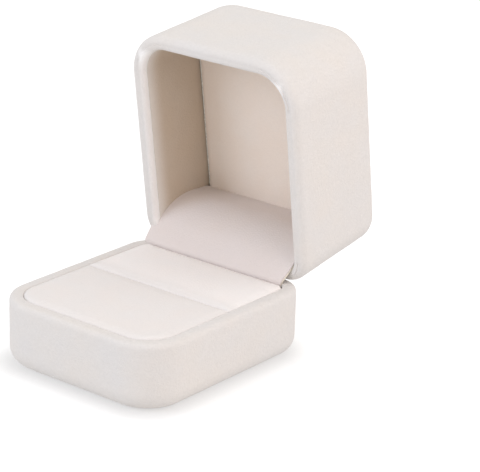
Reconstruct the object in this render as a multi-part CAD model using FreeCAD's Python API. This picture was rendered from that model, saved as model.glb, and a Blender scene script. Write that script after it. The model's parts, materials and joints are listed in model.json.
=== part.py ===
"""Hinged ring box in pale velvet: a padded base, a deep domed lid and a snap hinge between them.

Millimetres, +Z up. The origin is the middle of the underside, X runs along the hinge, the box
opens towards -Y and the hinge is at +Y. The solids lie as the box stands open. Everything on
the lid is drawn with the lid shut, straight above the base, and then swung open.
"""
import FreeCAD, Part

import math
import os

V = FreeCAD.Vector

# ---- overall sizes ----
WIDTH = 50.0
DEPTH = 55.4
BASE_HEIGHT = 16.8
LID_HEIGHT = 32.4
PARTING = 0.4            # gap between the two rims when shut
FRONT_CORNER_R = 11.0
REAR_CORNER_R = 7.0
BASE_BOTTOM_ROUND = 4.8
LID_TOP_ROUND = 6.6
BASE_RIM_ROUND = 1.5
LID_RIM_ROUND = 1.8
LID_DRAFT_DEG = 1.4      # sides and front of the lid lean in towards its top

# ---- layers of the two walls, from outside in ----
VELVET = 0.5
BASE_WALL = 2.3
BASE_FLOOR = 2.8
LID_WALL = 1.7
BASE_TURN_IN = 6.0       # how far the velvet is turned down inside the base
LID_TURN_IN = 8.0
LINING_CARD = 0.5
LINING_VELVET = 0.4
LINING_SETBACK = 0.9     # lining starts this far inside the lid's rim
LINING_BEHIND_PANEL = 2.8  # how far the lining runs on behind the panel
UNDERSIDE_BORDER = 5.4   # from the outer face to the edge of the felt sheet

# ---- padded insert in the base ----
INSERT_CARD = 1.0
PAD_CLEARANCE = 0.15
PAD_RISE = 0.45          # pads stand this much above the base's rim
PAD_EDGE_ROUND = 1.0
PAD_COVER = 0.45
SLIT_Y = 2.2
SLIT_GAP = 0.9

# ---- padded panel inside the lid ----
LID_CAVITY_DEPTH = 20.0
PANEL_CLEARANCE = 0.15
PANEL_COVER = 0.4
PANEL_FOAM = 1.4
PANEL_CARD = 0.8
PANEL_FLANGE = 3.2       # depth of the card's folded edge behind the panel

# ---- snap hinge ----
OPEN_ANGLE_DEG = 81.8
HINGE_INSET = 1.2        # axis, in from the rear face
HINGE_RISE = 0.8         # axis, above the base's rim
HINGE_LENGTH = 26.0
KNUCKLE_COUNT = 5
KNUCKLE_R = 1.15
KNUCKLE_GAP = 0.2
PIN_R = 0.55
PIN_CLEARANCE = 0.05
PIN_HEAD_R = 0.85
PIN_HEAD = 0.3
LEAF_THICKNESS = 0.5
LEAF_LENGTH = 11.5       # from the axis to the far edge of each leaf
LEAF_CLEARANCE = 0.05
BARREL_CLEARANCE = 0.3
RIVET_R = 0.7
RIVET_HEAD_R = 1.3
RIVET_HEAD = 0.35
RIVET_COUNT = 3
RIVET_PITCH = 9.0
RIVET_FROM_AXIS = 9.2
SPRING_WIDTH = 4.2
SPRING_THICKNESS = 0.25
SPRING_TIP_CLEARANCE = 0.2
SPRING_TIP_RISE = 0.3    # spring tip, above the axis
SPRING_BEND = 5.0        # length of the part that leans away from the leaf

# ---- flap that hides the hinge ----
FLAP_VELVET = 0.45
FLAP_CARD = 0.45
FLAP_CLEARANCE = 0.2
FLAP_TAIL = 10.8         # how far the tail reaches down behind the rear pad
FLAP_KNEE_RISE = 2.4     # where it leaves the upright line, above the base's rim
FLAP_KNEE_R = 2.5
FLAP_SHOULDER_BACK = 5.7  # the upper bend, behind the hinge axis and above the base's rim
FLAP_SHOULDER_RISE = 10.1
FLAP_SHOULDER_R = 16.0
FLAP_END_RISE = 7.4      # end of the flap, from the lid's rear face along the panel
FLAP_SIDE_CLEARANCE = 0.1
FLAP_ABOVE_RIM = 0.15    # the flap is full width from here up, and a narrower tail below

# ---- places worked out from the sizes ----
REAR_Y = DEPTH / 2
LID_RIM_Z = BASE_HEIGHT + PARTING
LID_TOP_Z = LID_RIM_Z + LID_HEIGHT
BASE_OPENING = VELVET + BASE_WALL + VELVET
LID_OPENING = VELVET + LID_WALL + VELVET
LINING_FACE = LID_OPENING + LINING_CARD + LINING_VELVET
FLOOR_Z = VELVET + BASE_FLOOR
AXIS_Y = REAR_Y - HINGE_INSET
AXIS_Z = BASE_HEIGHT + HINGE_RISE
LEAF_FRONT_Y = AXIS_Y - KNUCKLE_R
LEAF_REAR_Y = LEAF_FRONT_Y + LEAF_THICKNESS
FLAP_THICKNESS = FLAP_VELVET + FLAP_CARD
FLAP_FRONT_Y = REAR_Y - BASE_OPENING - FLAP_CLEARANCE - FLAP_THICKNESS
PAD_TOP_Z = BASE_HEIGHT + PAD_RISE
PANEL_Z = LID_RIM_Z + LID_CAVITY_DEPTH
PANEL_BACK_Z = PANEL_Z + PANEL_COVER + PANEL_FOAM + PANEL_CARD
BEYOND = 5.0             # how far a cutting tool runs past what it cuts

os.makedirs("parts", exist_ok=True)


# ---------------------------------------------------------------- shared forms

def box(x0, x1, y0, y1, z0, z1):
    return Part.makeBox(x1 - x0, y1 - y0, z1 - z0, V(x0, y0, z0))


def lid_taper(z):
    """How far the lid's sides and front have leaned in at this height."""
    return (z - LID_RIM_Z) * math.tan(math.radians(LID_DRAFT_DEG))


def plan_wire(inset, z, taper=0.0):
    """The box's plan outline at height z, inset from the outer face."""
    side = WIDTH / 2 - inset - taper
    front = -DEPTH / 2 + inset + taper
    rear = REAR_Y - inset
    front_r = FRONT_CORNER_R - inset
    rear_r = REAR_CORNER_R - inset
    diagonal = math.sqrt(0.5)
    corners = [
        (side - rear_r, rear - rear_r, rear_r, 1, 1),
        (-side + rear_r, rear - rear_r, rear_r, -1, 1),
        (-side + front_r, front + front_r, front_r, -1, -1),
        (side - front_r, front + front_r, front_r, 1, -1),
    ]
    arcs = []
    for cx, cy, r, sx, sy in corners:
        beside = V(cx + sx * r, cy, z)
        middle = V(cx + sx * r * diagonal, cy + sy * r * diagonal, z)
        along = V(cx, cy + sy * r, z)
        ends = (beside, along) if sx == sy else (along, beside)
        arcs.append((ends[0], middle, ends[1]))
    edges = []
    for i, (start, middle, end) in enumerate(arcs):
        edges.append(Part.Arc(start, middle, end).toShape())
        edges.append(Part.LineSegment(end, arcs[(i + 1) % 4][0]).toShape())
    return Part.Wire(edges)


def level_edges(solid, z):
    return [e for e in solid.Edges if abs(e.BoundBox.ZMin - z) < 1e-4 and abs(e.BoundBox.ZMax - z) < 1e-4]


def rounded_at(solid, z, radius):
    return solid.makeFillet(radius, level_edges(solid, z))


def base_form(inset, z0, z1):
    return Part.Face(plan_wire(inset, z0)).extrude(V(0, 0, z1 - z0))


def lid_form(inset, z0, z1):
    wires = [plan_wire(inset, z, lid_taper(z)) for z in (z0, z1)]
    return Part.makeLoft(wires, True, True)


def hinge_notch(z0, z1):
    """Slot through both rear walls that the hinge's barrel lies in."""
    half = HINGE_LENGTH / 2 + PIN_HEAD + BARREL_CLEARANCE
    return box(-half, half, REAR_Y - BASE_OPENING - BEYOND, REAR_Y + BEYOND, z0, z1)


def along_x(radius, x0, x1):
    return Part.makeCylinder(radius, x1 - x0, V(x0, AXIS_Y, AXIS_Z), V(1, 0, 0))


def swung_open(solid):
    opened = solid.copy()
    opened.rotate(V(0, AXIS_Y, AXIS_Z), V(1, 0, 0), -OPEN_ANGLE_DEG)
    return opened


def merged(first, *others):
    return first.fuse(list(others)).removeSplitter()


# ---------------------------------------------------------------- base

def base_outer():
    form = base_form(0, 0, BASE_HEIGHT)
    return rounded_at(rounded_at(form, 0, BASE_BOTTOM_ROUND), BASE_HEIGHT, BASE_RIM_ROUND)


def base_core():
    """The base shell's outside, solid right through."""
    form = base_form(VELVET, VELVET, BASE_HEIGHT - VELVET)
    form = rounded_at(form, VELVET, BASE_BOTTOM_ROUND - VELVET)
    return rounded_at(form, BASE_HEIGHT - VELVET, BASE_RIM_ROUND - VELVET)


def base_notch():
    return hinge_notch(AXIS_Z - KNUCKLE_R - BARREL_CLEARANCE, BASE_HEIGHT + BEYOND)


def rivet_places():
    return [(i - (RIVET_COUNT - 1) / 2) * RIVET_PITCH for i in range(RIVET_COUNT)]


def rivet_holes(z):
    starts = [V(x, REAR_Y - BEYOND, z) for x in rivet_places()]
    return Part.makeCompound([Part.makeCylinder(RIVET_R, 2 * BEYOND, at, V(0, 1, 0)) for at in starts])


def leaf_recess(z0, z1):
    half = HINGE_LENGTH / 2 + LEAF_CLEARANCE
    return box(-half, half, REAR_Y - BASE_OPENING - BEYOND, LEAF_REAR_Y + LEAF_CLEARANCE, z0, z1)


def base_shell():
    inner_round = BASE_BOTTOM_ROUND - VELVET - BASE_WALL
    hollow = base_form(VELVET + BASE_WALL, FLOOR_Z, BASE_HEIGHT)
    hollow = rounded_at(hollow, FLOOR_Z, inner_round)
    recess = leaf_recess(AXIS_Z - LEAF_LENGTH - LEAF_CLEARANCE, BASE_HEIGHT + BEYOND)
    shell = base_core().cut(hollow).cut(base_notch()).cut(recess)
    return shell.cut(rivet_holes(AXIS_Z - RIVET_FROM_AXIS))


def base_velvet_wrap():
    opening = base_form(BASE_OPENING, BASE_HEIGHT - BASE_TURN_IN, BASE_HEIGHT + BEYOND)
    underside = base_form(UNDERSIDE_BORDER, -BEYOND, VELVET)
    skin = base_outer().cut(base_core()).cut(opening).cut(underside)
    turned = base_form(VELVET + BASE_WALL, BASE_HEIGHT - BASE_TURN_IN, BASE_HEIGHT - VELVET).cut(opening)
    return merged(skin, turned).cut(base_notch())


def underside_felt():
    return base_form(UNDERSIDE_BORDER, 0, VELVET)


def insert_card():
    return base_form(BASE_BOTTOM_ROUND, FLOOR_Z, FLOOR_Z + INSERT_CARD)


def pad_block(y0, y1, inset, top_z, edge_round):
    """One half of the insert: the base's inside outline between y0 and y1."""
    bottom_z = FLOOR_Z + INSERT_CARD
    form = base_form(BASE_OPENING + PAD_CLEARANCE + inset, bottom_z, top_z)
    block = form.common(box(-WIDTH, WIDTH, y0 + inset, y1 - inset, bottom_z, top_z))
    return rounded_at(block.Solids[0], top_z, edge_round)


def pad(y0, y1):
    """A foam block and the velvet cover that is drawn down over it."""
    whole = pad_block(y0, y1, 0, PAD_TOP_Z, PAD_EDGE_ROUND)
    foam = pad_block(y0, y1, PAD_COVER, PAD_TOP_Z - PAD_COVER, PAD_EDGE_ROUND - PAD_COVER)
    return foam, whole.cut(foam)


# ---------------------------------------------------------------- lid, drawn shut

def lid_outer():
    form = lid_form(0, LID_RIM_Z, LID_TOP_Z)
    return rounded_at(rounded_at(form, LID_TOP_Z, LID_TOP_ROUND), LID_RIM_Z, LID_RIM_ROUND)


def lid_core():
    """The lid shell's outside, solid right through."""
    form = lid_form(VELVET, LID_RIM_Z + VELVET, LID_TOP_Z - VELVET)
    form = rounded_at(form, LID_TOP_Z - VELVET, LID_TOP_ROUND - VELVET)
    return rounded_at(form, LID_RIM_Z + VELVET, LID_RIM_ROUND - VELVET)


def lid_notch():
    return hinge_notch(LID_RIM_Z - BEYOND, AXIS_Z + KNUCKLE_R + BARREL_CLEARANCE)


def lid_shell():
    ceiling_z = LID_TOP_Z - VELVET - LID_WALL
    hollow = lid_form(VELVET + LID_WALL, LID_RIM_Z, ceiling_z)
    hollow = rounded_at(hollow, ceiling_z, LID_TOP_ROUND - VELVET - LID_WALL)
    recess = leaf_recess(LID_RIM_Z - BEYOND, AXIS_Z + LEAF_LENGTH + LEAF_CLEARANCE)
    shell = lid_core().cut(hollow).cut(lid_notch()).cut(recess)
    return shell.cut(rivet_holes(AXIS_Z + RIVET_FROM_AXIS))


def lid_velvet_wrap():
    opening = lid_form(LID_OPENING, LID_RIM_Z - BEYOND, LID_RIM_Z + LID_TURN_IN)
    skin = lid_outer().cut(lid_core()).cut(opening)
    turned = lid_form(VELVET + LID_WALL, LID_RIM_Z + VELVET, LID_RIM_Z + LID_TURN_IN).cut(opening)
    return merged(skin, turned.cut(hinge_notch(LID_RIM_Z, LID_TOP_Z))).cut(lid_notch())


def lining_strip(outer_inset, inner_inset):
    """A strip round the lid's sides and front; it ends behind the flap, where the rear corners begin."""
    z0 = LID_RIM_Z + LINING_SETBACK
    z1 = PANEL_BACK_Z + LINING_BEHIND_PANEL
    ring = lid_form(outer_inset, z0, z1).cut(lid_form(inner_inset, z0, z1))
    return ring.cut(box(-WIDTH, WIDTH, REAR_Y - REAR_CORNER_R, REAR_Y, z0, z1))


def lid_wall_card():
    return lining_strip(LID_OPENING, LID_OPENING + LINING_CARD)


def lid_wall_velvet():
    return lining_strip(LID_OPENING + LINING_CARD, LINING_FACE)


def lid_panel():
    """The panel inside the lid: velvet cover, thin foam and a card with a folded edge."""
    edge = LINING_FACE + PANEL_CLEARANCE
    foam_z = PANEL_Z + PANEL_COVER
    card_z = foam_z + PANEL_FOAM
    rim_z = PANEL_BACK_Z + PANEL_FLANGE
    foam = lid_form(edge + PANEL_COVER, foam_z, card_z)
    cover = lid_form(edge, PANEL_Z, PANEL_BACK_Z).cut(lid_form(edge + PANEL_COVER, foam_z, PANEL_BACK_Z))
    card = lid_form(edge + PANEL_COVER, card_z, rim_z)
    card = card.cut(lid_form(edge + PANEL_COVER + PANEL_CARD, PANEL_BACK_Z, rim_z))
    return cover, foam, card


# ---------------------------------------------------------------- snap hinge, drawn shut

def knuckle_spans():
    """Start and end of each knuckle along the hinge."""
    pitch = HINGE_LENGTH / KNUCKLE_COUNT
    start = -HINGE_LENGTH / 2
    half_gap = KNUCKLE_GAP / 2
    return [(start + i * pitch + half_gap, start + (i + 1) * pitch - half_gap) for i in range(KNUCKLE_COUNT)]


def leaf(own_spans, direction):
    """A plate tangent to the barrel with its own knuckles; direction is -1 down, +1 up."""
    far = AXIS_Z + direction * LEAF_LENGTH
    near = AXIS_Z + direction * (KNUCKLE_R + BARREL_CLEARANCE)
    half = HINGE_LENGTH / 2
    plate = box(-half, half, LEAF_FRONT_Y, LEAF_REAR_Y, min(near, far), max(near, far))
    pieces = []
    for x0, x1 in own_spans:
        pieces.append(box(x0, x1, LEAF_FRONT_Y, LEAF_REAR_Y, min(AXIS_Z, near), max(AXIS_Z, near)))
        pieces.append(along_x(KNUCKLE_R, x0, x1))
    whole = merged(plate, *pieces)
    whole = whole.cut(along_x(PIN_R + PIN_CLEARANCE, -HINGE_LENGTH, HINGE_LENGTH))
    return whole.cut(rivet_holes(AXIS_Z + direction * RIVET_FROM_AXIS))


def hinge_pin():
    half = HINGE_LENGTH / 2
    heads = [along_x(PIN_HEAD_R, -half - PIN_HEAD, -half), along_x(PIN_HEAD_R, half, half + PIN_HEAD)]
    return merged(along_x(PIN_R, -half, half), *heads)


def rivets(z, seat_depths):
    """Flat-headed rivets from the leaf's front to the outside of the shell."""
    group = []
    for x, seat in zip(rivet_places(), seat_depths):
        head_y = LEAF_FRONT_Y - seat - RIVET_HEAD
        shank = Part.makeCylinder(RIVET_R, REAR_Y - VELVET - head_y, V(x, head_y, z), V(0, 1, 0))
        head = Part.makeCylinder(RIVET_HEAD_R, RIVET_HEAD, V(x, head_y, z), V(0, 1, 0))
        group.append(merged(shank, head))
    return Part.makeCompound(group)


def snap_spring():
    """Flat spring on the base leaf; its tip bears on the lid's middle knuckle."""
    foot_z = AXIS_Z - LEAF_LENGTH
    tip_z = AXIS_Z + SPRING_TIP_RISE
    bend_z = tip_z - SPRING_BEND
    tip_y = LEAF_FRONT_Y - SPRING_TIP_CLEARANCE
    back = [(LEAF_FRONT_Y, foot_z), (LEAF_FRONT_Y, bend_z), (tip_y, tip_z)]
    front = [(y - SPRING_THICKNESS, z) for y, z in reversed(back)]
    points = [V(-SPRING_WIDTH / 2, y, z) for y, z in back + front]
    strip = Part.Face(Part.makePolygon(points + points[:1])).extrude(V(SPRING_WIDTH, 0, 0))
    return strip.cut(rivet_holes(AXIS_Z - RIVET_FROM_AXIS))


# ---------------------------------------------------------------- hinge flap, drawn open

def flap_route():
    """Corner points of the flap's showing face in (y, z), and the radius at each bend."""
    opened = math.radians(90 - OPEN_ANGLE_DEG)
    up = (-math.sin(opened), math.cos(opened))
    back = (math.cos(opened), math.sin(opened))
    corner = swung_open(Part.Vertex(V(0, REAR_Y, LID_RIM_Z))).Point
    reach = LID_CAVITY_DEPTH - FLAP_CLEARANCE
    end_y = corner.y + FLAP_END_RISE * up[0] + reach * back[0]
    end_z = corner.z + FLAP_END_RISE * up[1] + reach * back[1]
    tail = (FLAP_FRONT_Y, BASE_HEIGHT - FLAP_TAIL)
    knee = (FLAP_FRONT_Y, BASE_HEIGHT + FLAP_KNEE_RISE)
    shoulder = (AXIS_Y + FLAP_SHOULDER_BACK, BASE_HEIGHT + FLAP_SHOULDER_RISE)
    return [tail, knee, shoulder, (end_y, end_z)], [FLAP_KNEE_R, FLAP_SHOULDER_R]


def shifted(points, offset):
    """The same open line, moved to its right-hand side by offset, with mitred corners."""
    normals = []
    for (y0, z0), (y1, z1) in zip(points, points[1:]):
        length = math.hypot(y1 - y0, z1 - z0)
        normals.append(((z1 - z0) / length, -(y1 - y0) / length))
    moved = []
    for i, (y, z) in enumerate(points):
        before = normals[max(i - 1, 0)]
        after = normals[min(i, len(normals) - 1)]
        scale = offset / (1 + before[0] * after[0] + before[1] * after[1])
        moved.append((y + scale * (before[0] + after[0]), z + scale * (before[1] + after[1])))
    return moved


def bent_line(points, radii, x):
    """Edges of an open line with a tangent arc at each inner corner."""
    edges = []
    at = V(x, *points[0])
    for i, radius in enumerate(radii):
        corner = V(x, *points[i + 1])
        arriving = (corner - V(x, *points[i])).normalize()
        leaving = (V(x, *points[i + 2]) - corner).normalize()
        turn = arriving.getAngle(leaving)
        run = radius * math.tan(turn / 2)
        start = corner - arriving * run
        end = corner + leaving * run
        towards_centre = (leaving - arriving).normalize()
        centre = corner + towards_centre * (radius / math.cos(turn / 2))
        middle = centre - towards_centre * radius
        edges.append(Part.LineSegment(at, start).toShape())
        edges.append(Part.Arc(start, middle, end).toShape())
        at = end
    edges.append(Part.LineSegment(at, V(x, *points[-1])).toShape())
    return edges


def flap_layer(outer, inner):
    """One layer of the flap, between two depths behind its showing face."""
    half = WIDTH / 2 - LINING_FACE - lid_taper(PANEL_Z) - FLAP_SIDE_CLEARANCE
    points, radii = flap_route()
    front = bent_line(shifted(points, outer), [r - outer for r in radii], -half)
    rear = bent_line(shifted(points, inner), [r - inner for r in radii], -half)
    closers = []
    for vertex in (0, -1):
        a = front[vertex].Vertexes[vertex].Point
        b = rear[vertex].Vertexes[vertex].Point
        closers.append(Part.LineSegment(a, b).toShape())
    outline = Part.Wire(Part.__sortEdges__(front + rear + closers))
    layer = Part.Face(outline).extrude(V(2 * half, 0, 0))
    tail_half = WIDTH / 2 - REAR_CORNER_R
    tail_top_z = BASE_HEIGHT + FLAP_ABOVE_RIM
    for x0, x1 in ((-WIDTH, -tail_half), (tail_half, WIDTH)):
        layer = layer.cut(box(x0, x1, 0, DEPTH, 0, tail_top_z))
    return layer


# ---------------------------------------------------------------- the whole box

def single(shape):
    """The one solid of a shape."""
    solids = shape.Solids
    if len(solids) != 1:
        raise ValueError("expected one solid, found %d" % len(solids))
    return solids[0]


def base_nodes():
    front_foam, front_cover = pad(-DEPTH, SLIT_Y - SLIT_GAP / 2)
    rear_foam, rear_cover = pad(SLIT_Y + SLIT_GAP / 2, FLAP_FRONT_Y - PAD_CLEARANCE)
    spans = knuckle_spans()
    spring_seats = [SPRING_THICKNESS if abs(x) < SPRING_WIDTH / 2 else 0 for x in rivet_places()]
    return {
        "base_shell": single(base_shell()),
        "base_velvet_wrap": single(base_velvet_wrap()),
        "underside_felt": single(underside_felt()),
        "insert_card": single(insert_card()),
        "front_pad_foam": single(front_foam),
        "front_pad_cover": single(front_cover),
        "rear_pad_foam": single(rear_foam),
        "rear_pad_cover": single(rear_cover),
        "hinge_base_leaf": single(leaf(spans[1::2], -1)),
        "base_leaf_rivets": rivets(AXIS_Z - RIVET_FROM_AXIS, spring_seats),
        "hinge_pin": single(hinge_pin()),
        "snap_spring": single(snap_spring()),
    }


def lid_nodes():
    cover, foam, card = lid_panel()
    return {
        "lid_shell": single(lid_shell()),
        "lid_velvet_wrap": single(lid_velvet_wrap()),
        "lid_wall_card": single(lid_wall_card()),
        "lid_wall_velvet": single(lid_wall_velvet()),
        "lid_panel_cover": single(cover),
        "lid_panel_foam": single(foam),
        "lid_panel_card": single(card),
        "hinge_lid_leaf": single(leaf(knuckle_spans()[0::2], 1)),
        "lid_leaf_rivets": rivets(AXIS_Z + RIVET_FROM_AXIS, [0] * RIVET_COUNT),
    }


nodes = base_nodes()
for name, solid in lid_nodes().items():
    nodes[name] = swung_open(solid)
nodes["hinge_flap_velvet"] = single(flap_layer(0, FLAP_VELVET))
nodes["hinge_flap_card"] = single(flap_layer(FLAP_VELVET, FLAP_THICKNESS))

for name, shape in nodes.items():
    shape.exportStep("parts/%s.step" % name)
    print(name, len(shape.Solids), round(shape.Volume, 2), shape.isValid())
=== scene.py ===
"""Looks of a hinged ring box in pale velvet: its cloth, pads, lining, flap and fittings.

Metres, +Z up. The box opens towards -Y and its hinge is at +Y. Pieces of the lid are drawn with
the lid shut, straight above the base, and then swung open about the hinge.
"""
import json
import math

import bmesh
import bpy
import numpy as np
from mathutils import Matrix, Vector


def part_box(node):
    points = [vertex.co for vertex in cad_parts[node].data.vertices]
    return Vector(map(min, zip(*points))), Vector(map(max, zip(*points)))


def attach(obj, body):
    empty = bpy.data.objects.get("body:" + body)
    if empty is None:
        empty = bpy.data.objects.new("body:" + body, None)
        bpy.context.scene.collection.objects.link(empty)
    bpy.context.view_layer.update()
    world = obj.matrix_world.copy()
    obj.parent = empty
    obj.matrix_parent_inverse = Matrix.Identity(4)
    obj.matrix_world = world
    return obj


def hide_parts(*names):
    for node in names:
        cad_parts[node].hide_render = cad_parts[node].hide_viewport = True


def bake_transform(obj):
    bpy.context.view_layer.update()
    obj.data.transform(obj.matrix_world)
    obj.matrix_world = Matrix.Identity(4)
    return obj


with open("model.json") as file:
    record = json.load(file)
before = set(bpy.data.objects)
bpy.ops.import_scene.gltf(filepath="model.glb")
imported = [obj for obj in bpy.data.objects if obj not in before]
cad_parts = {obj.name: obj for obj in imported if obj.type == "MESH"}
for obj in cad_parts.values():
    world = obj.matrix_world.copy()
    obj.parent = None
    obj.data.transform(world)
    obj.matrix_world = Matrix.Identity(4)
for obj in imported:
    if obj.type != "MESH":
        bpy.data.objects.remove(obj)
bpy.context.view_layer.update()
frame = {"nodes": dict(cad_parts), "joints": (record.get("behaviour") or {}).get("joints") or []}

MM = 0.001
HAIR = 0.01 * MM
UPRIGHT_SLOPE = 0.2       # a face whose normal rises less than this is a wall
ALONG_SHARE = 0.99        # an edge with more of its length than this on an axis lies along it
LONG_EDGE = 3             # an edge longer than this many steps still has to be cut

# ---- sizes of the box ----
BASE_LOW, BASE_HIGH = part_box("base_velvet_wrap")
HALF_WIDTH = BASE_HIGH.x
REAR_Y = BASE_HIGH.y
FRONT_Y = BASE_LOW.y
RIM_Z = BASE_HIGH.z
PARTING = 0.4 * MM
LID_RIM_Z = RIM_Z + PARTING
LID_HEIGHT = 32.4 * MM
LID_TOP_Z = LID_RIM_Z + LID_HEIGHT
LID_DRAFT = math.tan(math.radians(1.4))   # how far the lid's walls lean in, per unit of height
LID_FRONT_DRAFT = math.tan(math.radians(1.9))
FRONT_CORNER_R = 11 * MM
REAR_CORNER_R = 7 * MM
LID_REAR_CORNER_R = 6.6 * MM
BOTTOM_ROUND = 4.8 * MM
DOME_ROUND = 6.3 * MM     # has to stay below the lid's corners at its top
TOP_MERGE = 0.2 * MM      # closes what is left of the rear corners there

# ---- cloth ----
CLOTH = 0.45 * MM
BASE_STEP = 0.45 * MM     # size of the faces on the base's cloth
LID_STEP = 0.52 * MM
HIDDEN_STEP = 1.2 * MM
TALL_BASE_EDGE = 6 * MM   # upright edges longer than this show, and are cut finely
TALL_LID_EDGE = 12 * MM
CAP_SIDES = 8             # the flat of the lid's top has more corners than this
CLOTH_WAVES = ((5 * MM, 0.10 * MM), (1.2 * MM, 0.05 * MM))   # size and depth
BASE_RIM_ROUND = 1.2 * MM
LID_RIM_ROUND = 2.1 * MM
BASE_INNER_ROUND = 0.35 * MM
LID_INNER_ROUND = 1.35 * MM   # the roll inside the crease
BASE_OPENING = 3.3 * MM
LID_OPENING = 3.6 * MM
LID_REAR_OPENING = 2.7 * MM   # thinner where the flap passes over the rim
REAR_MOUTH_BLEND = 4 * MM
BASE_TURN_IN = 6 * MM
LID_TURN_IN = 2.0 * MM
CREASE_DEPTH = 0.24 * MM      # where the outer rounding meets the inner roll
CREASE_REACH = 0.15 * MM
UNDERSIDE_BORDER = 5.4 * MM

# ---- hinge ----
HINGE = frame["joints"][0]
AXIS = Vector(HINGE["pos_m"])
OPEN_ANGLE = math.radians(HINGE["range_deg"][1])
NOTCH_HALF = 13.6 * MM
NOTCH_CLEARANCE = 1.45 * MM   # from the axis to the bottom of each notch
NOTCH_FOOT_DROP = 5 * MM      # the walls are squeezed as far as this from the rims
NOTCH_HEAD_RISE = 8 * MM
LID_SHIFT = Vector((0.3, 0, 0)) * MM   # the lid's cloth sits a little to one side
LID_SWING = Matrix.Translation(AXIS) @ Matrix.Rotation(-OPEN_ANGLE, 4, "X") @ Matrix.Translation(-AXIS)

# ---- lining and panel of the lid ----
LINING = 0.4 * MM
LINING_FACE = 3.6 * MM
LINING_LOW_Z = LID_RIM_Z + LID_TURN_IN + 0.05 * MM
LINING_HIGH_Z = LID_RIM_Z + 25.4 * MM
PANEL_EDGE = 3.75 * MM
PANEL_Z = LID_RIM_Z + 20 * MM
PANEL_THICKNESS = 2.6 * MM
PANEL_EDGE_ROUND = 1.0 * MM
LINING_REAR_R = 2.4 * MM
LINING_STEP = 0.8 * MM
LINING_WAVES = (6 * MM, 0.08 * MM)

# ---- pads ----
PAD_PRESS = 0.15 * MM     # how far each pad is pressed into the other at their slit
PAD_SHOULDER = 1.3 * MM   # how far in the soft edge of a pad starts
PAD_SHOULDER_DROP = 0.38 * MM
SLIT_DROP = 0.04 * MM     # at the slit
PAD_HALF_WIDTH = 21.8 * MM
PAD_FRONT_Y = -24.5 * MM
PAD_REAR_CORNER_R = 2.3 * MM
PAD_TOP_Z = RIM_Z + 0.2 * MM
SLIT_Y = 2.2 * MM
TINY_CORNER_R = 0.3 * MM
FOAM_STEP = 0.45 * MM     # size of the faces that the foam is blown up with
SWELL_SCALE = 10          # the cloth solver is given pads ten times their size
SWELL_FRAMES = 14
PAD_PRESSURE = 4
PAD_SWELL = 0.15 * MM
PANEL_SWELL = 0.25 * MM

# ---- flap over the hinge ----
FLAP_LOW, FLAP_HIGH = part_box("hinge_flap_velvet")
FLAP_KNEE = Vector((0, FLAP_LOW.y, 17.6 * MM))
FLAP_KNEE_R = 0.8 * MM
FLAP_SHOULDER = Vector((0, 31.4 * MM, 26.93 * MM))
FLAP_SHOULDER_R = 16 * MM
FLAP_END = Vector((0, FLAP_HIGH.y, 26.51 * MM))
FLAP_HALF = 21.4 * MM
FLAP_STEP = 0.6 * MM
FLAP_VELVET = 0.43 * MM
FLAP_CARD = 0.43 * MM
FLAP_WAVES = (7 * MM, 0.10 * MM)
# In millimetres: the sum of Y and Z along the flap, and its left and right edges there.
FLAP_CUT = (
    (29.0, -19.8, 19.8),
    (39.7, -19.8, 19.8),
    (40.1, -22.3, 20.0),
    (46.0, -22.4, 20.9),
    (50.0, -22.2, 21.4),
    (55.0, -21.4, 21.6),
    (72.0, -21.2, 21.6),
)

# ---- colours ----
OUTER_PALE = (0.757, 0.735, 0.720)
OUTER_WARM = (0.765, 0.728, 0.695)
# Painted shade on the rear pad along the slit, darkest at the slit and gone within the reach below.
SEAM_SHADE = 0.08
SEAM_REACH = 6 * MM
PAD_PALE = (0.815, 0.790, 0.778)
PAD_WARM = (0.820, 0.781, 0.760)
# Painted light: the rear pad is the front pad's velvet, made lighter all over.
REAR_PAD_PAINTED_LIGHT_PALE = (0.910, 0.885, 0.875)
REAR_PAD_PAINTED_LIGHT_WARM = (0.915, 0.877, 0.860)
# The lining's colours: the velvet's own tone, made darker and browner as painted shade of the deep
# hollow.
LINING_PAINTED_SHADE_PALE = (0.604, 0.510, 0.415)
LINING_PAINTED_SHADE_WARM = (0.590, 0.487, 0.384)
# Painted light on the lining: lighter close to the lid's mouth, fading to the lining's colours deeper in.
LINING_PAINTED_LIGHT = (0.820, 0.785, 0.745)
PAINTED_LIGHT_FADE = (0.6 * MM, 7.0 * MM)
# Painted light: the inner roll of the lid's rim is painted paler on its two sides.
ROLL_PAINTED_LIGHT = (0.970, 0.955, 0.945)
ROLL_LIGHT_ACROSS = (20.9 * MM, 22.2 * MM)   # the painted light on the inner roll of the lid's sides fades out over these
ROLL_LIGHT_ALONG = (22.0 * MM, 24.2 * MM)
ROLL_LIGHT_DEPTH = (2.0 * MM, 2.6 * MM)
PANEL_PALE = (0.875, 0.793, 0.722)
PANEL_WARM = (0.866, 0.767, 0.685)
FLAP_PALE = (0.765, 0.706, 0.688)
FLAP_WARM = (0.760, 0.692, 0.664)
FELT_COLOUR = (0.60, 0.575, 0.535)
FOAM_COLOUR = (0.82, 0.81, 0.76)
CARD_COLOUR = (0.86, 0.80, 0.68)
PLASTIC_COLOUR = (0.74, 0.72, 0.67)
NICKEL_COLOUR = (0.74, 0.73, 0.70)
SPRING_COLOUR = (0.55, 0.55, 0.57)

# ---- sizes of the spots in the pile ----
PILE_BROAD = 9 * MM
PILE_PATCH = 0.9 * MM
PILE_FUZZ = 0.45 * MM
PILE_HAIR = 0.16 * MM
PILE_DEPTH = 0.10 * MM

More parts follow.
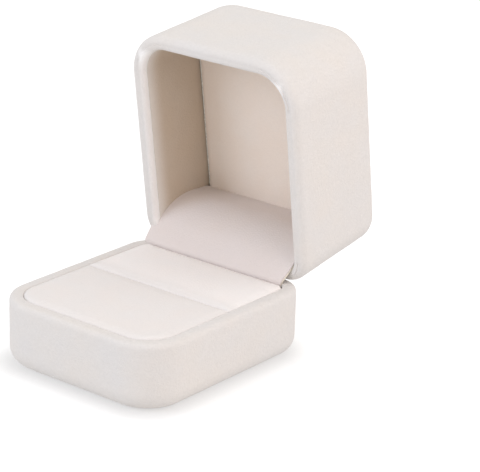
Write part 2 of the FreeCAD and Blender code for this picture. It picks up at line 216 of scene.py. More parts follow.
# ---- room ----
FLOOR_SIZE = 3.0
FLOOR_COLOUR = (0.5, 0.5, 0.5, 1)
FLOOR_GLOW = 0.32
FLOOR_LIFT = 0.10
FLOOR_LIFT_BEYOND_PAINTED_SHADOW = 0.24     # more of it away from the foot of the box, so close round the foot the floor has a painted shadow
PAINTED_SHADOW_SPAN = (-1.5 * MM, 7 * MM)
FOOT_CORNER_R = 9 * MM
ROOM_TINT = (1.04, 1.0, 0.96)
ROOM_LIGHT = 0.737
LAMP_AIM = Vector((0, 10, 25)) * MM
# Name, place, size, power and tint of each lamp.
LAMPS = (
    ("overhead", (0.12, 0.05, 0.62), 0.5, 0.46, (0.81, 0.945, 1)),
    ("right", (0.6, -0.1, 0.35), 0.4, 0.99, (1, 0.888, 0.916)),
    ("front_left", (-0.36, -0.56, 0.30), 0.35, 1.48, (0.765, 0.843, 1)),
    ("rear_right", (0.45, 0.35, 0.40), 0.4, 0.47, (1, 0.9, 0.827)),
)
CAMERA_TURN = math.radians(38.578)
CAMERA_RISE = math.radians(20.26)
CAMERA_ROLL = math.radians(1.62)
CAMERA_AIM = Vector((10.480, 19.638, 27.559)) * MM
CAMERA_DISTANCE = 509.71 * MM
CAMERA_LENS = 162.888
CAMERA_SENSOR = 36
CAMERA_NEAR = 0.01


# ---------------------------------------------------------------- modelling by hand

def block(name, low, high):
    """A closed block from its lowest to its highest corner, left in edit mode."""
    bpy.ops.object.select_all(action="DESELECT")
    centre = [(a + b) / 2 for a, b in zip(low, high)]
    bpy.ops.mesh.primitive_cube_add(size=1, location=centre)
    piece = bpy.context.object
    piece.name = name
    piece.data.name = name
    piece.scale = [b - a for a, b in zip(low, high)]
    bpy.ops.object.transform_apply(location=True, rotation=True, scale=True)
    bpy.ops.object.mode_set(mode="EDIT")
    return piece


def choose(piece):
    """Makes the piece the active one and the only one selected."""
    bpy.ops.object.select_all(action="DESELECT")
    piece.select_set(True)
    bpy.context.view_layer.objects.active = piece


def pick(piece, kind, test):
    """In edit mode, selects the corners, edges or faces that pass the test, and nothing else."""
    bpy.ops.mesh.select_mode(type=kind)
    bpy.ops.mesh.select_all(action="DESELECT")
    cage = bmesh.from_edit_mesh(piece.data)
    parts = {"VERT": cage.verts, "EDGE": cage.edges, "FACE": cage.faces}[kind]
    for part in [part for part in parts if test(part)]:
        part.select_set(True)
    cage.select_flush_mode()
    bmesh.update_edit_mesh(piece.data)


def middle(part):
    return sum((v.co for v in part.verts), Vector()) / len(part.verts)


def level_at(part, z):
    return all(abs(v.co.z - z) < HAIR for v in part.verts)


def level_y(part, y):
    return all(abs(v.co.y - y) < HAIR for v in part.verts)


def runs(edge, axis):
    """True for an edge that lies along the axis: 0 is X, 1 is Y, 2 is Z."""
    along = edge.verts[1].co - edge.verts[0].co
    return abs(along[axis]) > ALONG_SHARE * along.length


def upright(face):
    return abs(face.normal.z) < UPRIGHT_SLOPE


def faces_out(face):
    """True on the outside of the box, false on a wall of its hollow."""
    return face.normal.dot(face.calc_center_median() * Vector((1, 1, 0))) > 0


def arc_steps(radius, step):
    return max(2, round(radius * math.pi / 2 / step))


def round_edges(piece, test, radius, step):
    pick(piece, "EDGE", test)
    bpy.ops.mesh.bevel(
        offset=radius, segments=arc_steps(radius, step), affect="EDGES", clamp_overlap=False
    )


def round_corners(piece, front_r, rear_r, step):
    """Rounds the upright corners of a block, first the two at the front."""
    cage = bmesh.from_edit_mesh(piece.data)
    centre_y = middle(cage).y
    if front_r:
        round_edges(piece, lambda e: runs(e, 2) and middle(e).y < centre_y, front_r, step)
    if rear_r:
        round_edges(piece, lambda e: runs(e, 2) and middle(e).y > centre_y, rear_r, step)


def rim_edge(z, outside):
    """Test for the edges at height z where a level face meets a wall."""
    def test(edge):
        walls = [face for face in edge.link_faces if upright(face)]
        return level_at(edge, z) and len(walls) == 1 and faces_out(walls[0]) == outside
    return test


def divide(piece, test, step):
    """Cuts the edges that pass the test across, so that no piece is longer than the step."""
    cage = bmesh.from_edit_mesh(piece.data)
    longest = max((edge.calc_length() for edge in cage.edges if test(edge)), default=0)
    pick(piece, "EDGE", test)
    cuts = math.ceil(longest / step) - 1
    if cuts > 0:
        bpy.ops.mesh.subdivide(number_cuts=cuts)


def divide_flats(piece, step):
    """Cuts the flat stretches between the rounded corners into narrow strips."""
    for axis in (0, 1):
        for side in (-1, 1):
            def flat(edge):
                long = runs(edge, axis) and edge.calc_length() > LONG_EDGE * step
                return long and middle(edge)[1 - axis] * side > 0
            divide(piece, flat, step)


def lean(piece, z, height, pivot_y, front_draft=LID_DRAFT):
    """Leans the sides and the front in at the top of a block, as a moulding's draft."""
    corners = [v.co.copy() for v in bmesh.from_edit_mesh(piece.data).verts]
    side = max(corner.x for corner in corners)
    front = min(corner.y for corner in corners)
    pick(piece, "VERT", lambda v: abs(v.co.z - z) < HAIR)
    scale = (1 - height * LID_DRAFT / side, 1 - height * front_draft / (pivot_y - front), 1)
    bpy.ops.transform.resize(value=scale, center_override=(0, pivot_y, z))


def open_block(piece, z, opening, turn_in, outer_round, inner_round, step):
    """Opens a block at the level z: a rim, then the cloth turned down inside it.

    turn_in is the way down the hollow, below zero for a hollow that opens upwards.
    """
    pick(piece, "FACE", lambda f: level_at(f, z))
    bpy.ops.mesh.inset(thickness=opening)
    bpy.ops.mesh.extrude_region_move(TRANSFORM_OT_translate={"value": (0, 0, turn_in)})
    bpy.ops.mesh.delete(type="FACE")
    round_edges(piece, rim_edge(z, True), outer_round, step)
    round_edges(piece, rim_edge(z, False), inner_round, step)


def inset_of(spot):
    """How far a point of the lid lies inside its outline, seen from above."""
    radius = FRONT_CORNER_R if spot.y < 0 else LID_REAR_CORNER_R
    across = abs(spot.x) - (HALF_WIDTH - radius)
    along = abs(spot.y) - (REAR_Y - radius)
    return radius - math.hypot(max(across, 0), max(along, 0)) - min(max(across, along), 0)


def widen_rear_mouth(piece):
    """Makes the lid's rim thinner at the rear, where the flap passes over it."""
    cage = bmesh.from_edit_mesh(piece.data)
    rear_wall = REAR_Y - LID_OPENING
    for corner in cage.verts:
        if corner.co.z > LID_RIM_Z + LID_TURN_IN + HAIR or inset_of(corner.co) < LID_RIM_ROUND - HAIR:
            continue
        share = min(max((corner.co.y - rear_wall) / REAR_MOUTH_BLEND + 1, 0), 1)
        corner.co.y += (LID_OPENING - LID_REAR_OPENING) * share * share * (3 - 2 * share)
    bmesh.update_edit_mesh(piece.data)


def squeeze(piece, test, factor, z):
    """Presses the picked corners towards the level z."""
    pick(piece, "VERT", test)
    bpy.ops.transform.resize(value=(1, 1, factor), center_override=(0, 0, z))


def apply_all(piece):
    """Leaves edit mode and applies the piece's modifiers in order."""
    if piece.mode == "EDIT":
        bpy.ops.object.mode_set(mode="OBJECT")
    bpy.context.view_layer.objects.active = piece
    for modifier in list(piece.modifiers):
        bpy.ops.object.modifier_apply(modifier=modifier.name)


def ruffle(piece, size, depth):
    """Moves the surface in and out by a soft cloudy pattern of that size."""
    clouds = bpy.data.textures.new(piece.name + "_clouds", "CLOUDS")
    clouds.noise_scale = size
    waves = piece.modifiers.new("ruffle", "DISPLACE")
    waves.texture = clouds
    waves.texture_coords = "LOCAL"
    waves.strength = depth
    waves.mid_level = 0.5


def thicken(piece, thickness, offset=-1):
    wall = piece.modifiers.new("thickness", "SOLIDIFY")
    wall.thickness = thickness
    wall.offset = offset


def swing_open(piece):
    """Turns a piece drawn with the lid shut to where it lies with the lid open."""
    piece.matrix_world = Matrix.Translation(LID_SHIFT) @ LID_SWING
    choose(piece)
    bpy.ops.object.transform_apply(location=True, rotation=True, scale=True)


def smooth(piece, degrees=60):
    choose(piece)
    bpy.ops.object.shade_smooth_by_angle(angle=math.radians(degrees))


# ---------------------------------------------------------------- velvet over the two shells

def soften_and_thicken(piece):
    for size, depth in CLOTH_WAVES:
        ruffle(piece, size, depth)
    thicken(piece, CLOTH)
    apply_all(piece)
    smooth(piece)


def base_velvet():
    piece = block("base_velvet", BASE_LOW, BASE_HIGH)
    round_corners(piece, FRONT_CORNER_R, REAR_CORNER_R, BASE_STEP)
    pick(piece, "FACE", lambda f: level_at(f, BASE_LOW.z))
    bpy.ops.mesh.inset(thickness=UNDERSIDE_BORDER)
    bpy.ops.mesh.delete(type="FACE")
    open_block(piece, RIM_Z, BASE_OPENING, -BASE_TURN_IN, BASE_RIM_ROUND, BASE_INNER_ROUND, BASE_STEP)
    round_edges(piece, rim_edge(BASE_LOW.z, True), BOTTOM_ROUND, BASE_STEP)
    divide_flats(piece, BASE_STEP)
    divide(piece, lambda e: runs(e, 2) and e.calc_length() > TALL_BASE_EDGE, BASE_STEP)
    divide(piece, lambda e: runs(e, 2) and e.calc_length() > LONG_EDGE * HIDDEN_STEP, HIDDEN_STEP)
    notch_foot = RIM_Z - NOTCH_FOOT_DROP
    notch_z = AXIS.z - NOTCH_CLEARANCE
    squeeze(
        piece,
        lambda v: abs(v.co.x) < NOTCH_HALF and v.co.y > REAR_Y - 2 * BASE_OPENING and v.co.z > notch_foot,
        (notch_z - notch_foot) / (RIM_Z - notch_foot),
        notch_foot,
    )
    soften_and_thicken(piece)
    return piece


def lid_velvet():
    low = (-HALF_WIDTH, FRONT_Y, LID_RIM_Z)
    high = (HALF_WIDTH, REAR_Y, LID_TOP_Z)
    piece = block("lid_velvet", low, high)
    round_corners(piece, FRONT_CORNER_R, LID_REAR_CORNER_R, LID_STEP)
    lean(piece, LID_TOP_Z, LID_TOP_Z - LID_RIM_Z, REAR_Y, LID_FRONT_DRAFT)
    open_block(piece, LID_RIM_Z, LID_OPENING, LID_TURN_IN, LID_RIM_ROUND, LID_INNER_ROUND, LID_STEP)
    round_edges(piece, rim_edge(LID_TOP_Z, True), DOME_ROUND, LID_STEP)
    divide_flats(piece, LID_STEP)
    divide(piece, lambda e: runs(e, 2) and e.calc_length() > TALL_LID_EDGE, LID_STEP)
    divide(piece, lambda e: runs(e, 2) and e.calc_length() > LONG_EDGE * HIDDEN_STEP, HIDDEN_STEP)
    pick(piece, "VERT", lambda v: abs(v.co.z - LID_TOP_Z) < HAIR)
    bpy.ops.mesh.remove_doubles(threshold=TOP_MERGE)
    pick(piece, "FACE", lambda f: level_at(f, LID_TOP_Z) and len(f.verts) > CAP_SIDES)
    bpy.ops.mesh.delete(type="ONLY_FACE")
    pick(piece, "EDGE", lambda e: level_at(e, LID_TOP_Z) and len(e.link_faces) == 1)
    bpy.ops.mesh.fill_grid()
    pick(
        piece,
        "VERT",
        lambda v: v.co.z < LID_RIM_Z + HAIR and abs(inset_of(v.co) - LID_RIM_ROUND) < CREASE_REACH,
    )
    bpy.ops.transform.translate(value=(0, 0, CREASE_DEPTH))
    widen_rear_mouth(piece)
    notch_z = AXIS.z + NOTCH_CLEARANCE
    notch_head = LID_RIM_Z + NOTCH_HEAD_RISE
    squeeze(
        piece,
        lambda v: abs(v.co.x) < NOTCH_HALF and v.co.y > REAR_Y - 2 * LID_OPENING and v.co.z < notch_head,
        (notch_head - notch_z) / (notch_head - LID_RIM_Z),
        notch_head,
    )
    soften_and_thicken(piece)
    swing_open(piece)
    return piece


# ---------------------------------------------------------------- pads and panel

def swell(piece, pressure, cap):
    """Blows the piece up as foam under tight cloth, moving no point further than the cap."""
    choose(piece)
    piece.scale = [SWELL_SCALE] * 3
    bpy.ops.object.transform_apply(scale=True)
    remesh = piece.modifiers.new("even_faces", "REMESH")
    remesh.mode = "VOXEL"
    remesh.voxel_size = FOAM_STEP * SWELL_SCALE
    bpy.ops.object.modifier_apply(modifier=remesh.name)
    count = len(piece.data.vertices)
    before = np.empty(count * 3)
    piece.data.vertices.foreach_get("co", before)
    cloth = piece.modifiers.new("swell", "CLOTH")
    cloth.settings.use_pressure = True
    cloth.settings.uniform_pressure_force = pressure
    cloth.settings.effector_weights.gravity = 0
    for step in range(1, SWELL_FRAMES + 1):
        bpy.context.scene.frame_set(step)
    bpy.ops.object.modifier_apply(modifier=cloth.name)
    bpy.context.scene.frame_set(1)
    after = np.empty(count * 3)
    piece.data.vertices.foreach_get("co", after)
    before = before.reshape(-1, 3)
    moved = after.reshape(-1, 3) - before
    reach = np.linalg.norm(moved, axis=1, keepdims=True)
    moved *= np.minimum(1, cap * SWELL_SCALE / np.maximum(reach, HAIR))
    piece.data.vertices.foreach_set("co", (before + moved).ravel())
    piece.data.update()
    piece.scale = [1 / SWELL_SCALE] * 3
    bpy.ops.object.transform_apply(scale=True)


def pad(name, low, high, front_r, rear_r):
    """One half of the insert, with soft top edges that drop less at the slit."""
    piece = block(name, low, high)
    round_corners(piece, front_r, rear_r, FOAM_STEP)
    round_edges(piece, rim_edge(high[2], True), PAD_SHOULDER, FOAM_STEP / 2)
    shoulder_z = high[2] - PAD_SHOULDER - HAIR
    squeeze(piece, lambda v: v.co.z > shoulder_z, PAD_SHOULDER_DROP / PAD_SHOULDER, high[2])
    squeeze(
        piece,
        lambda v: v.co.z > high[2] - PAD_SHOULDER_DROP - HAIR and abs(v.co.y - SLIT_Y) < PAD_SHOULDER,
        SLIT_DROP / PAD_SHOULDER_DROP,
        high[2],
    )
    bpy.ops.object.mode_set(mode="OBJECT")
    swell(piece, PAD_PRESSURE, PAD_SWELL)
    thicken(piece, CLOTH)
    apply_all(piece)
    smooth(piece)
    return piece


def front_pad():
    foot_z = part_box("front_pad_cover")[0].z
    low = (-PAD_HALF_WIDTH, PAD_FRONT_Y, foot_z)
    high = (PAD_HALF_WIDTH, SLIT_Y + PAD_PRESS, PAD_TOP_Z)
    corner_r = FRONT_CORNER_R - (HALF_WIDTH - PAD_HALF_WIDTH)
    return pad("front_pad", low, high, corner_r, TINY_CORNER_R)


def rear_pad():
    foot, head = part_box("rear_pad_cover")
    low = (-PAD_HALF_WIDTH, SLIT_Y - PAD_PRESS, foot.z)
    high = (PAD_HALF_WIDTH, head.y, PAD_TOP_Z)
    return pad("rear_pad", low, high, TINY_CORNER_R, PAD_REAR_CORNER_R)


def lid_panel():
    """The padded panel at the back of the lid's hollow, facing the opening."""
    inward = (PANEL_Z - LID_RIM_Z) * LID_DRAFT + PANEL_EDGE
    low = (-HALF_WIDTH + inward, FRONT_Y + inward, PANEL_Z)
    high = (HALF_WIDTH - inward, REAR_Y - PANEL_EDGE, PANEL_Z + PANEL_THICKNESS)
    piece = block("lid_panel", low, high)
    round_corners(piece, FRONT_CORNER_R - PANEL_EDGE, REAR_CORNER_R - PANEL_EDGE, FOAM_STEP / 2)
    lean(piece, high[2], PANEL_THICKNESS, high[1])
    round_edges(piece, rim_edge(low[2], True), PANEL_EDGE_ROUND, FOAM_STEP / 3)
    bpy.ops.object.mode_set(mode="OBJECT")
    swell(piece, PAD_PRESSURE, PANEL_SWELL)
    thicken(piece, CLOTH)
    apply_all(piece)
    smooth(piece)
    swing_open(piece)
    return piece


# ---------------------------------------------------------------- lining of the lid

def lid_lining():
    """Velvet on the sides and the front of the lid's hollow, and round its rear corners."""
    inward = (LINING_LOW_Z - LID_RIM_Z) * LID_DRAFT + LINING_FACE
    low = (-HALF_WIDTH + inward, FRONT_Y + inward, LINING_LOW_Z)
    high = (HALF_WIDTH - inward, REAR_Y - LINING_FACE, LINING_HIGH_Z)
    piece = block("lid_lining", low, high)
    round_corners(piece, FRONT_CORNER_R - LINING_FACE, LINING_REAR_R, LINING_STEP)
    lean(piece, high[2], high[2] - low[2], high[1])
    pick(piece, "FACE", lambda f: not upright(f) or level_y(f, high[1]))
    bpy.ops.mesh.delete(type="FACE")
    divide_flats(piece, LINING_STEP)
    divide(piece, lambda e: runs(e, 2), LINING_STEP)
    bpy.ops.object.mode_set(mode="OBJECT")
    ruffle(piece, *LINING_WAVES)
    thicken(piece, LINING, 1)
    apply_all(piece)
    smooth(piece)
    swing_open(piece)
    return piece


# ---------------------------------------------------------------- flap over the hinge

def bend(route, corner, radius):
    """Where the arc at a corner of the route starts, its centre and its turn about X."""
    before, at, after = route[corner - 1], route[corner], route[corner + 1]
    arrive = (at - before).normalized()
    leave = (after - at).normalized()
    turn = arrive.angle(leave)
    start = at - arrive * radius * math.tan(turn / 2)
    side = arrive.cross(leave)
    centre = start + side.cross(arrive).normalized() * radius
    return start, centre, turn * (1 if side.x > 0 else -1)


def flap_sheet(name):
    """The flap's showing face: up behind the rear pad, over the hinge and back into the lid."""
    tail = Vector((0, FLAP_LOW.y, FLAP_LOW.z))
    route = [tail, FLAP_KNEE, FLAP_SHOULDER, FLAP_END]
    knee_start, knee_centre, knee_turn = bend(route, 1, FLAP_KNEE_R)
    shoulder_start, shoulder_centre, shoulder_turn = bend(route, 2, FLAP_SHOULDER_R)
    bpy.ops.object.select_all(action="DESELECT")
    bpy.ops.mesh.primitive_plane_add(
        size=1, location=(tail + knee_start) / 2, rotation=(math.pi / 2, 0, 0)
    )
    piece = bpy.context.object
    piece.name = name
    piece.data.name = name
    piece.scale = (2 * FLAP_HALF, (knee_start - tail).length, 1)
    bpy.ops.object.transform_apply(location=True, rotation=True, scale=True)
    bpy.ops.object.mode_set(mode="EDIT")
    divide(piece, lambda e: runs(e, 2), FLAP_STEP)
    top = knee_start
    for centre, turn, next_start in (
        (knee_centre, knee_turn, shoulder_start),
        (shoulder_centre, shoulder_turn, FLAP_END),
    ):
        pick(piece, "EDGE", lambda e: (middle(e) - top).length < HAIR)
        radius = (top - centre).length
        bpy.ops.mesh.spin(
            steps=math.ceil(radius * abs(turn) / FLAP_STEP), angle=-turn, center=centre, axis=(1, 0, 0)
        )
        top = centre + Matrix.Rotation(turn, 3, "X") @ (top - centre)
        pick(piece, "EDGE", lambda e: (middle(e) - top).length < HAIR)
        bpy.ops.mesh.extrude_region_move(TRANSFORM_OT_translate={"value": next_start - top})
        top = next_start
    divide(piece, lambda e: runs(e, 0), FLAP_STEP)
    divide(piece, lambda e: not runs(e, 0) and e.calc_length() > LONG_EDGE * FLAP_STEP, FLAP_STEP)
    bpy.ops.object.mode_set(mode="OBJECT")
    cut_flap(piece)
    return piece


def cut_flap(piece):
    """Draws the flap's edges in or out to its cut."""
    along, left, right = np.array(FLAP_CUT).T * MM
    for corner in piece.data.vertices:
        spot = corner.co
        edge = left if spot.x < 0 else right
        reach = abs(np.interp(spot.y + spot.z, along, edge))
        spot.x *= reach / FLAP_HALF
    piece.data.update()


def flap_velvet():
    piece = flap_sheet("flap_velvet")
    ruffle(piece, *FLAP_WAVES)
    thicken(piece, FLAP_VELVET)
    apply_all(piece)
    smooth(piece)
    return piece


def flap_card():
    """The card behind the flap's velvet, from the velvet's back to its own."""
    piece = flap_sheet("flap_card")
    middle_depth = FLAP_VELVET + FLAP_CARD / 2 + 2 * HAIR
    thicken(piece, FLAP_CARD, -2 * middle_depth / FLAP_CARD)
    apply_all(piece)
    smooth(piece, 30)
    return piece


# ---------------------------------------------------------------- finishes

class Quantity:
    """A number that changes over a surface; sums and products of it add Math nodes."""

    def __init__(self, finish, socket):
        self.finish = finish
        self.socket = socket

    def math(self, operation, first, second):
        return self.finish.add("ShaderNodeMath", {"operation": operation}, {0: first, 1: second})

    def __add__(self, other):
        return self.math("ADD", self, other)

    def __radd__(self, other):
        return self.math("ADD", other, self)

    def __sub__(self, other):
        return self.math("SUBTRACT", self, other)

    def __rsub__(self, other):
        return self.math("SUBTRACT", other, self)

    def __mul__(self, other):
        return self.math("MULTIPLY", self, other)

    def __rmul__(self, other):
        return self.math("MULTIPLY", other, self)


class Finish:
    """A surface finish whose nodes are added one at a time."""

    def __init__(self, block):
        block.use_nodes = True
        self.block = block
        self.tree = block.node_tree
        self.tree.nodes.clear()

    def add(self, kind, settings=None, sockets=None, output=0):
        """Adds a node with its settings and the values or links of its sockets."""
        node = self.tree.nodes.new(kind)
        for name, value in (settings or {}).items():
            if name == "stops":
                self.set_stops(node.color_ramp, value)
            else:
                setattr(node, name, value)
        for name, value in (sockets or {}).items():
            if isinstance(value, Quantity):
                self.tree.links.new(value.socket, node.inputs[name])
            else:
                node.inputs[name].default_value = value
        return Quantity(self, node.outputs[output]) if node.outputs else None

    def set_stops(self, ramp, stops):
        for element, (position, value) in zip(ramp.elements, stops):
            element.position = position
            element.color = (value, value, value, 1)

    def place(self, stretch=(1, 1, 1)):
        """Where a point lies on the piece, with the pattern stretched along the axes."""
        spot = self.add("ShaderNodeTexCoord", output="Object")
        return self.add("ShaderNodeMapping", {}, {"Vector": spot, "Scale": stretch})

    def noise(self, size, detail=2, stretch=(1, 1, 1)):
        """Cloudy pattern about zero, with spots of that size."""
        sockets = {"Vector": self.place(stretch), "Scale": 1 / size, "Detail": detail}
        return self.add("ShaderNodeTexNoise", {}, sockets) - 0.5

    def along_lid(self, way):
        """How far a point lies from the middle of the open lid's mouth, the way given with it shut."""
        turned = LID_SWING.to_3x3() @ Vector(way)
        mouth = LID_SWING @ Vector((0, 0, LID_RIM_Z))
        sockets = {0: self.add("ShaderNodeTexCoord", output="Object"), 1: turned}
        reach = self.add("ShaderNodeVectorMath", {"operation": "DOT_PRODUCT"}, sockets, output="Value")
        return reach - mouth.dot(turned)

    def fade(self, value, start, end):
        """0 up to the start and 1 from the end, with a soft change between them."""
        sockets = {"Value": value, "From Min": start, "From Max": end}
        return self.add("ShaderNodeMapRange", {"interpolation_type": "SMOOTHSTEP"}, sockets)

    def tone(self, colour, brightness):
        """The colour made lighter or darker over the surface."""
        grey = self.add("ShaderNodeCombineXYZ", {}, {0: brightness, 1: brightness, 2: brightness})
        return self.add("ShaderNodeVectorMath", {"operation": "MULTIPLY"}, {0: colour, 1: grey})

    def mix(self, share, first, second):
        """A colour between two colours."""
        ends = [end if isinstance(end, Quantity) else (*end, 1) for end in (first, second)]
        sockets = {0: share, 6: ends[0], 7: ends[1]}
        return self.add("ShaderNodeMix", {"data_type": "RGBA"}, sockets, output=2)

    def bump(self, height, depth, strength=1.0):
        return self.add("ShaderNodeBump", {}, {"Height": height, "Distance": depth, "Strength": strength})

    def surface(self, sockets):
        shader = self.add("ShaderNodeBsdfPrincipled", {}, sockets)
        self.add("ShaderNodeOutputMaterial", {}, {"Surface": shader})
        return self.block


def new_finish(name):
    return Finish(bpy.data.materials.new(name))


def velvet(name, pale, warm, sheen, mottle, nap=0.55, rim=None, roll=None, seam=0):
    """Short cut pile: soft patches where it lies over, and a fine fuzz on top.

    rim is a lighter colour painted on the lining close to the lid's mouth, painted light, and roll
    the paler colour painted on the inner roll of the rim's two sides, painted light. seam is how
    much darker the pile is painted towards the slit between the pads, painted shade.
    """
    cloth = new_finish(name)
    broad = cloth.noise(PILE_BROAD, 2)
    patches = cloth.noise(PILE_PATCH, 3)
    fuzz = cloth.noise(PILE_FUZZ, 2)
    hairs = cloth.noise(PILE_HAIR, 1)
    lit = 1 + broad * (0.5 * mottle) + patches * mottle + fuzz * (1.2 * mottle)
    colour = cloth.mix(broad * 2.5 + 0.5, pale, warm)
    # painted shade: the rear pad is painted darker towards the slit
    if seam:
        spot = cloth.add("ShaderNodeTexCoord", output="Object")
        behind = cloth.add("ShaderNodeSeparateXYZ", {}, {0: spot}, output="Y")
        lit = lit * (1 - seam + cloth.fade(behind, SLIT_Y, SLIT_Y + SEAM_REACH) * seam)
    # painted light: the lining is painted lighter close to the lid's mouth
    if rim:
        colour = cloth.mix(cloth.fade(cloth.along_lid((0, 0, 1)), *PAINTED_LIGHT_FADE), rim, colour)
    # painted light: the inner roll of the rim's two sides is painted paler
    if roll:
        across = cloth.along_lid((1, 0, 0))
        along = cloth.along_lid((0, 1, 0))
        shown = 1 - cloth.fade(across.math("ABSOLUTE", across, 0), *ROLL_LIGHT_ACROSS)
        shown = shown * (1 - cloth.fade(along.math("ABSOLUTE", along, 0), *ROLL_LIGHT_ALONG))
        shown = shown * (1 - cloth.fade(cloth.along_lid((0, 0, 1)), *ROLL_LIGHT_DEPTH))
        colour = cloth.mix(shown, colour, roll)
    sockets = {
        "Base Color": cloth.tone(colour, lit),
        "Roughness": 0.92 + patches * 0.1,
        "Normal": cloth.bump(hairs + fuzz * 1.5 + patches, PILE_DEPTH, nap),
        "Specular IOR Level": 0.15,
        "Sheen Weight": sheen,
        "Sheen Roughness": 0.45,
        "Sheen Tint": (1.0, 0.985, 0.96, 1),
    }
    return cloth.surface(sockets)


def felt():
    """Pressed fibres, coarser than the pile."""
    cloth = new_finish("pressed_felt")
    fibres = cloth.noise(0.5 * MM, 4, (1, 2.2, 1))
    tufts = cloth.noise(2.5 * MM, 3)
    sockets = {
        "Base Color": cloth.tone(FELT_COLOUR, 1 + fibres * 0.35 + tufts * 0.15),
        "Roughness": 0.95 + fibres * 0.05,
        "Normal": cloth.bump(fibres + tufts, 0.25 * MM),
        "Specular IOR Level": 0.1,
        "Sheen Weight": 0.15,
    }
    return cloth.surface(sockets)


def foam():
    """Open-pored foam."""
    block = new_finish("open_foam")
    spot = block.place()
    pores = block.add("ShaderNodeTexVoronoi", {}, {"Vector": spot, "Scale": 1 / (0.6 * MM)})
    sockets = {
        "Base Color": block.tone(FOAM_COLOUR, 0.7 + pores * 0.5),
        "Roughness": 0.85 + pores * 0.1,
        "Normal": block.bump(pores, 0.2 * MM),
    }
    return block.surface(sockets)


def card():
    """Pale greyboard with short fibres in it."""
    board = new_finish("greyboard")
    grain = board.noise(0.3 * MM, 3)
    flecks = board.noise(1.1 * MM, 4, (1, 3, 1))
    sockets = {
        "Base Color": board.tone(CARD_COLOUR, 1 + grain * 0.18 + flecks * 0.16),
        "Roughness": 0.85 + flecks * 0.15,
        "Normal": board.bump(grain + flecks, 0.05 * MM),
    }
    return board.surface(sockets)


def moulded_plastic():
    """Off-white moulded plastic with a fine spark-eroded grain."""
    plastic = new_finish("moulded_plastic")
    grain = plastic.noise(0.35 * MM, 2)
    flow = plastic.noise(14 * MM, 2, (1, 1, 2.5))
    sockets = {
        "Base Color": plastic.tone(PLASTIC_COLOUR, 1 + flow * 0.08),
        "Roughness": 0.48 + grain * 0.2,
        "Normal": plastic.bump(grain, 0.03 * MM),
    }
    return plastic.surface(sockets)


def steel(name, colour, roughness):
    """Rolled strip steel, with marks along the hinge."""
    strip = new_finish(name)
    drawn = strip.noise(0.12 * MM, 2, (0.04, 1, 1))
    stains = strip.noise(3 * MM, 3)
    sockets = {
        "Base Color": strip.tone(colour, 1 + drawn * 0.12 + stains * 0.1),
        "Metallic": 1.0,
        "Roughness": roughness + drawn * 0.18 + stains * 0.15,
        "Normal": strip.bump(drawn, 0.01 * MM, 0.5),
    }
    return strip.surface(sockets)


def finishes():
    """One finish for each material slot of the record, and more where a piece needs its own."""
    return {
        "outer_velvet": velvet(
            "outer_velvet_pile", OUTER_PALE, OUTER_WARM, sheen=0.15, mottle=0.05
        ),
        # the lid's cloth: painted light on the inner roll of its rim
        "lid_velvet": velvet(
            "lid_velvet_pile_painted_light", OUTER_PALE, OUTER_WARM, sheen=0.15, mottle=0.05, roll=ROLL_PAINTED_LIGHT
        ),
        "pad_velvet": velvet(
            "pad_velvet_pile", PAD_PALE, PAD_WARM, sheen=0.12, mottle=0.03, nap=0.3
        ),
        # the rear pad: painted light all over, and painted shade along the slit
        "rear_pad_velvet_painted_light_and_shade": velvet(
            "rear_pad_pile_painted_light_and_shade", REAR_PAD_PAINTED_LIGHT_PALE, REAR_PAD_PAINTED_LIGHT_WARM, sheen=0.12, mottle=0.03, nap=0.3,
            seam=SEAM_SHADE,
        ),
        # the lining: painted shade all over, and painted light near the lid's mouth
        "lining_velvet": velvet(
            "lining_pile_painted_shade_and_light", LINING_PAINTED_SHADE_PALE, LINING_PAINTED_SHADE_WARM, sheen=0.05, mottle=0.04, nap=0.4,
            rim=LINING_PAINTED_LIGHT,
        ),
        "panel_velvet": velvet(
            "panel_velvet_pile", PANEL_PALE, PANEL_WARM, sheen=0.08, mottle=0.03, nap=0.35
        ),
        "flap_velvet": velvet(
            "flap_velvet_pile", FLAP_PALE, FLAP_WARM, sheen=0.08, mottle=0.025, nap=0.3
        ),
        "felt": felt(),
        "foam": foam(),
        "card": card(),
        "shell_plastic": moulded_plastic(),
        "hinge_steel": steel("nickel_plated_steel", NICKEL_COLOUR, roughness=0.3),
        "spring_steel": steel("blued_spring_steel", SPRING_COLOUR, roughness=0.36),
    }


# ---------------------------------------------------------------- stage and light

def seen_directly(finish):
    """1 where the camera, a reflection or a view through glass meets the surface."""
    rays = finish.add("ShaderNodeLightPath", output="Is Camera Ray")
    node = rays.socket.node
    glossy = Quantity(finish, node.outputs["Is Glossy Ray"])
    through = Quantity(finish, node.outputs["Is Transmission Ray"])
    return rays + glossy + through


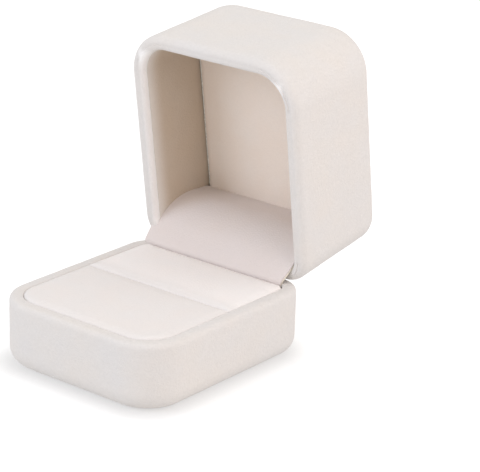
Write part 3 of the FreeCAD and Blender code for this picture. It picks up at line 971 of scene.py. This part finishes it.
def floor():
    """A pale floor, white to the camera away from the box, with a painted shadow close round its foot
    beside the shadow that falls there.
    """
    bpy.ops.object.select_all(action="DESELECT")
    bpy.ops.mesh.primitive_plane_add(size=FLOOR_SIZE, location=(0, 0, 0))
    piece = bpy.context.object
    piece.name = "floor"
    paint = new_finish("pale_floor_painted_shadow")
    spot = paint.add("ShaderNodeTexCoord", output="Object")
    flats = (HALF_WIDTH - FOOT_CORNER_R, REAR_Y - FOOT_CORNER_R, 0)
    spread = paint.add("ShaderNodeVectorMath", {"operation": "ABSOLUTE"}, {0: spot})
    spread = paint.add("ShaderNodeVectorMath", {"operation": "SUBTRACT"}, {0: spread, 1: flats})
    spread = paint.add("ShaderNodeVectorMath", {"operation": "MAXIMUM"}, {0: spread, 1: (0, 0, 0)})
    spread = paint.add("ShaderNodeVectorMath", {"operation": "LENGTH"}, {0: spread}, output="Value")
    # painted shadow: the floor's lift is smaller close round the foot of the box
    lift_with_painted_shadow = FLOOR_LIFT + paint.fade(spread - FOOT_CORNER_R, *PAINTED_SHADOW_SPAN) * FLOOR_LIFT_BEYOND_PAINTED_SHADOW
    sockets = {
        "Base Color": FLOOR_COLOUR,
        "Roughness": 1.0,
        "Specular IOR Level": 0.0,
        "Emission Color": seen_directly(paint) * lift_with_painted_shadow + FLOOR_GLOW,
        "Emission Strength": 1.0,
    }
    piece.data.materials.append(paint.surface(sockets))


def sky():
    """An even soft light all round that the camera sees as white."""
    world = bpy.data.worlds.new("soft_room")
    bpy.context.scene.world = world
    room = Finish(world)
    soft = room.add("ShaderNodeBackground", {}, {"Color": (*ROOM_TINT, 1), "Strength": ROOM_LIGHT})
    white = room.add("ShaderNodeBackground", {}, {"Color": (1, 1, 1, 1), "Strength": 1.0})
    shown = room.add("ShaderNodeMixShader", {}, {0: seen_directly(room), 1: soft, 2: white})
    room.add("ShaderNodeOutputWorld", {}, {"Surface": shown})


def lamp(name, place, size, power, tint):
    """A square soft lamp that faces the box."""
    bpy.ops.object.light_add(type="AREA", location=place)
    light = bpy.context.object
    light.name = name
    light.data.size = size
    light.data.energy = power
    light.data.color = tint
    light.rotation_euler = (LAMP_AIM - Vector(place)).to_track_quat("-Z", "Y").to_euler()


# ---------------------------------------------------------------- camera

def camera():
    """The camera, from its turn round the box, its height above it, its roll and its distance."""
    turn, rise, roll = CAMERA_TURN, CAMERA_RISE, CAMERA_ROLL
    back = Vector((math.sin(turn) * math.cos(rise), -math.cos(turn) * math.cos(rise), math.sin(rise)))
    level = Vector((math.cos(turn), math.sin(turn), 0))
    over = back.cross(level)
    right = level * math.cos(roll) + over * math.sin(roll)
    up = over * math.cos(roll) - level * math.sin(roll)
    facing = Matrix((right, up, back)).transposed().to_4x4()
    bpy.ops.object.camera_add()
    eye = bpy.context.object
    eye.matrix_world = Matrix.Translation(CAMERA_AIM + back * CAMERA_DISTANCE) @ facing
    eye.data.lens = CAMERA_LENS
    eye.data.sensor_width = CAMERA_SENSOR
    eye.data.clip_start = CAMERA_NEAR
    bpy.context.scene.camera = eye


# ---------------------------------------------------------------- the whole box

def dress(piece, finish, slot, *nodes):
    """Gives the piece its finish and hides the nodes that it stands for. The slot is not used."""
    piece.data.materials.append(finish)
    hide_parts(*nodes)
    return piece


finish = finishes()
for node in frame["nodes"].values():
    for place in node.material_slots:
        place.material = finish[place.name]

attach(dress(base_velvet(), finish["outer_velvet"], "outer_velvet", "base_velvet_wrap"), "base")
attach(dress(lid_velvet(), finish["lid_velvet"], "outer_velvet", "lid_velvet_wrap"), "lid")
front = dress(front_pad(), finish["pad_velvet"], "pad_velvet", "front_pad_cover")
rear = dress(rear_pad(), finish["rear_pad_velvet_painted_light_and_shade"], "pad_velvet", "rear_pad_cover")
panel = dress(lid_panel(), finish["panel_velvet"], "lining_velvet", "lid_panel_cover")
for cushion, body in ((front, "base"), (rear, "base"), (panel, "lid")):
    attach(cushion, body)
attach(dress(lid_lining(), finish["lining_velvet"], "lining_velvet", "lid_wall_velvet"), "lid")
flap = dress(flap_velvet(), finish["flap_velvet"], "lining_velvet", "hinge_flap_velvet")
backing = dress(flap_card(), finish["card"], "card", "hinge_flap_card")
for strip in (flap, backing):
    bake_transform(strip)

floor()
sky()
for row in LAMPS:
    lamp(*row)
camera()
bpy.context.scene.view_settings.view_transform = "Standard"
